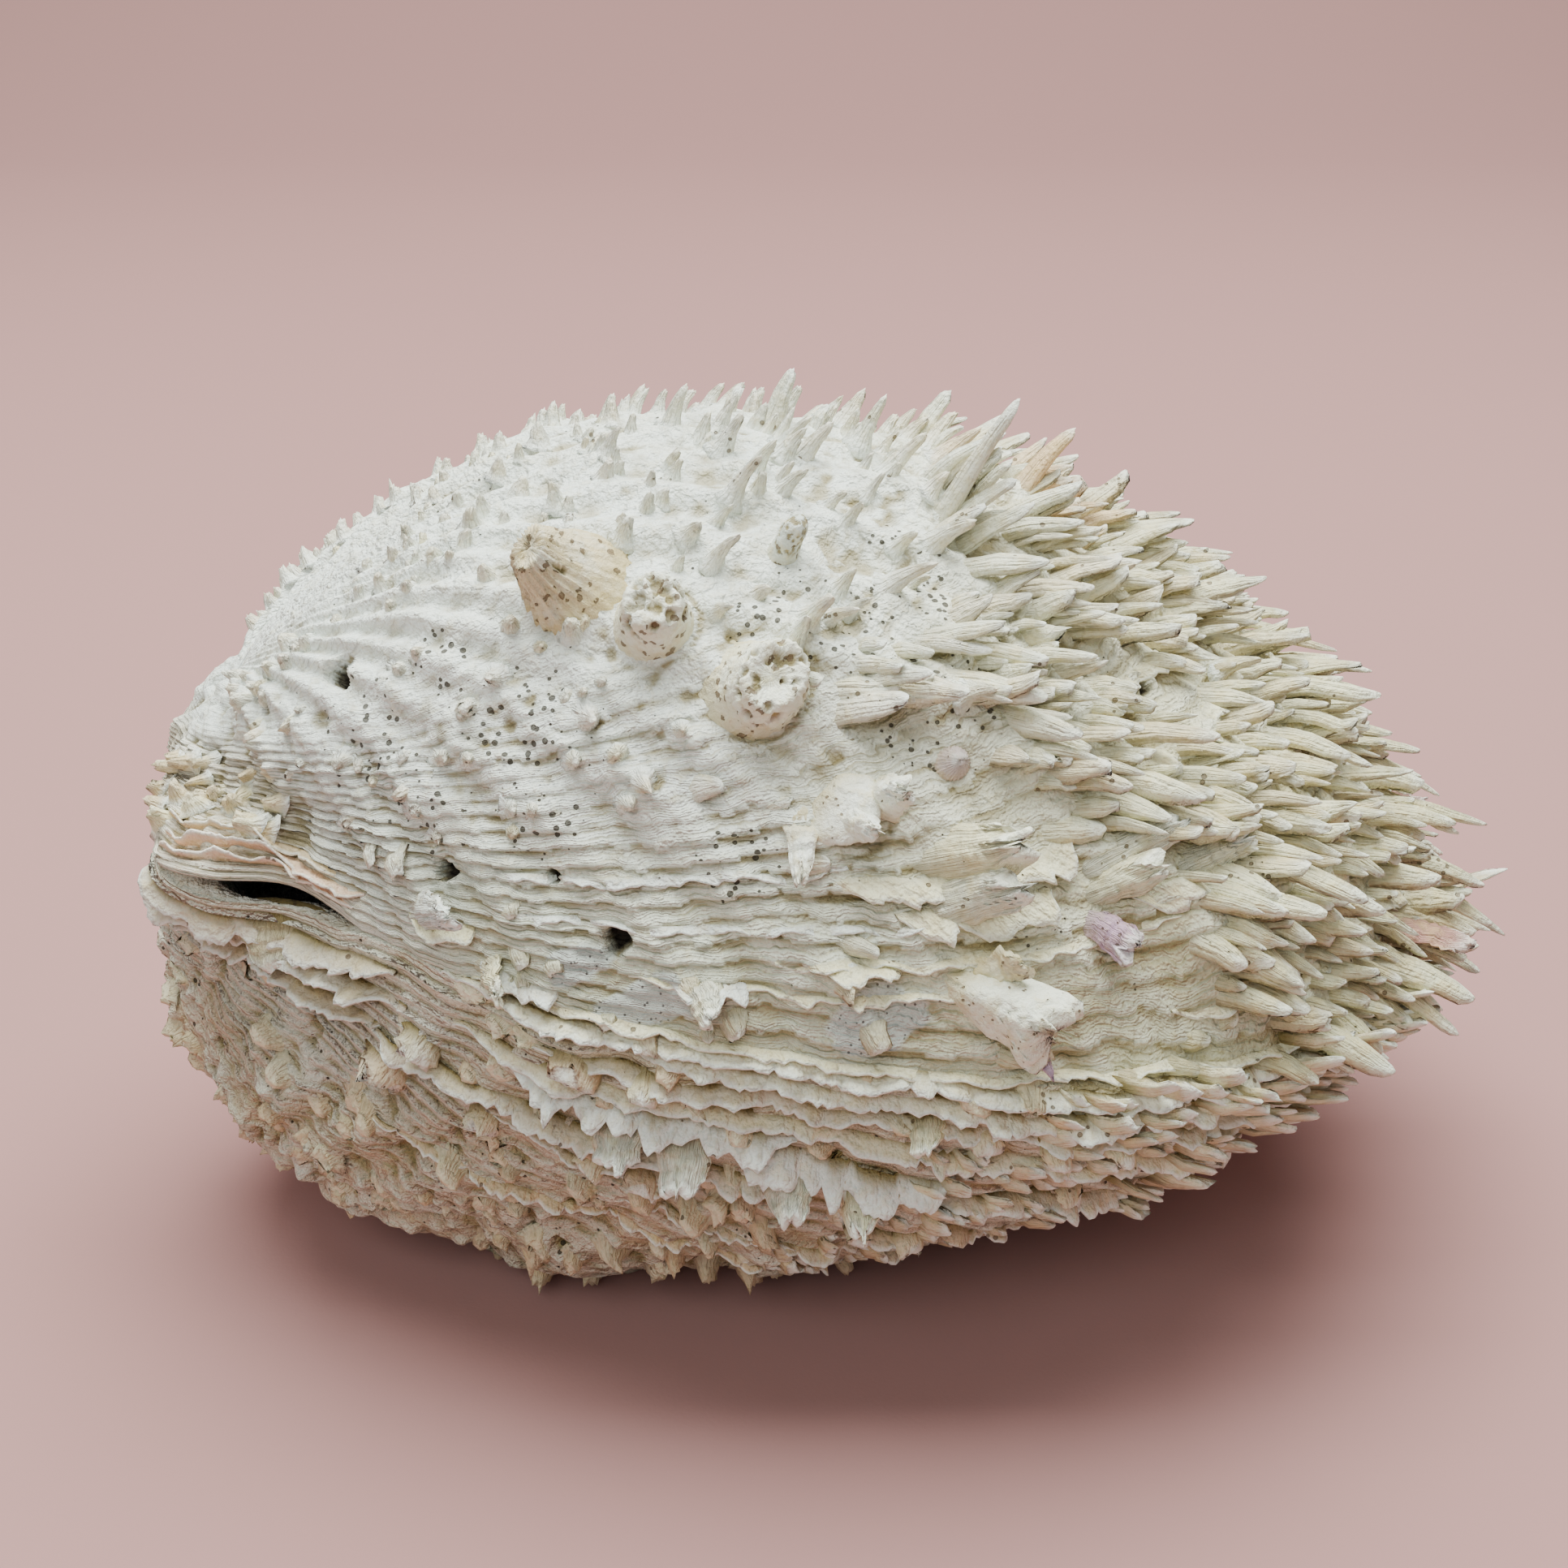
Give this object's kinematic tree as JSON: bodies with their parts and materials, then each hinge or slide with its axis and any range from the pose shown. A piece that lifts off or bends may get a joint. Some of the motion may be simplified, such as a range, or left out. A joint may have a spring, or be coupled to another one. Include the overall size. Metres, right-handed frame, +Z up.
{
  "type": "thorny oyster shell",
  "caption": "Closed thorny oyster shell with two hollow, ribbed and spiny valves, a slit open at one ear and small shells grown on top, resting on its deep lower valve.",
  "frame": {"origin": "middle of the bounding box at the floor that the lower valve rests on", "axes": "+X from the hinge towards the front margin with its long spines, +Y across the shell away from the ear with the open slit, +Z up from the lower valve to the upper valve"},
  "size_m": [0.1974, 0.1448, 0.1261],
  "materials": {
    "upper_valve": "matt",
    "lower_valve": "matt",
    "fold_shell": "satin",
    "cup_shell": "satin"
  },
  "bodies": {
    "root": {"upper_valve": "upper_valve", "lower_valve": "lower_valve", "fold_shell": "fold_shell", "cup_shell": "cup_shell"}
  },
  "joints": []
}
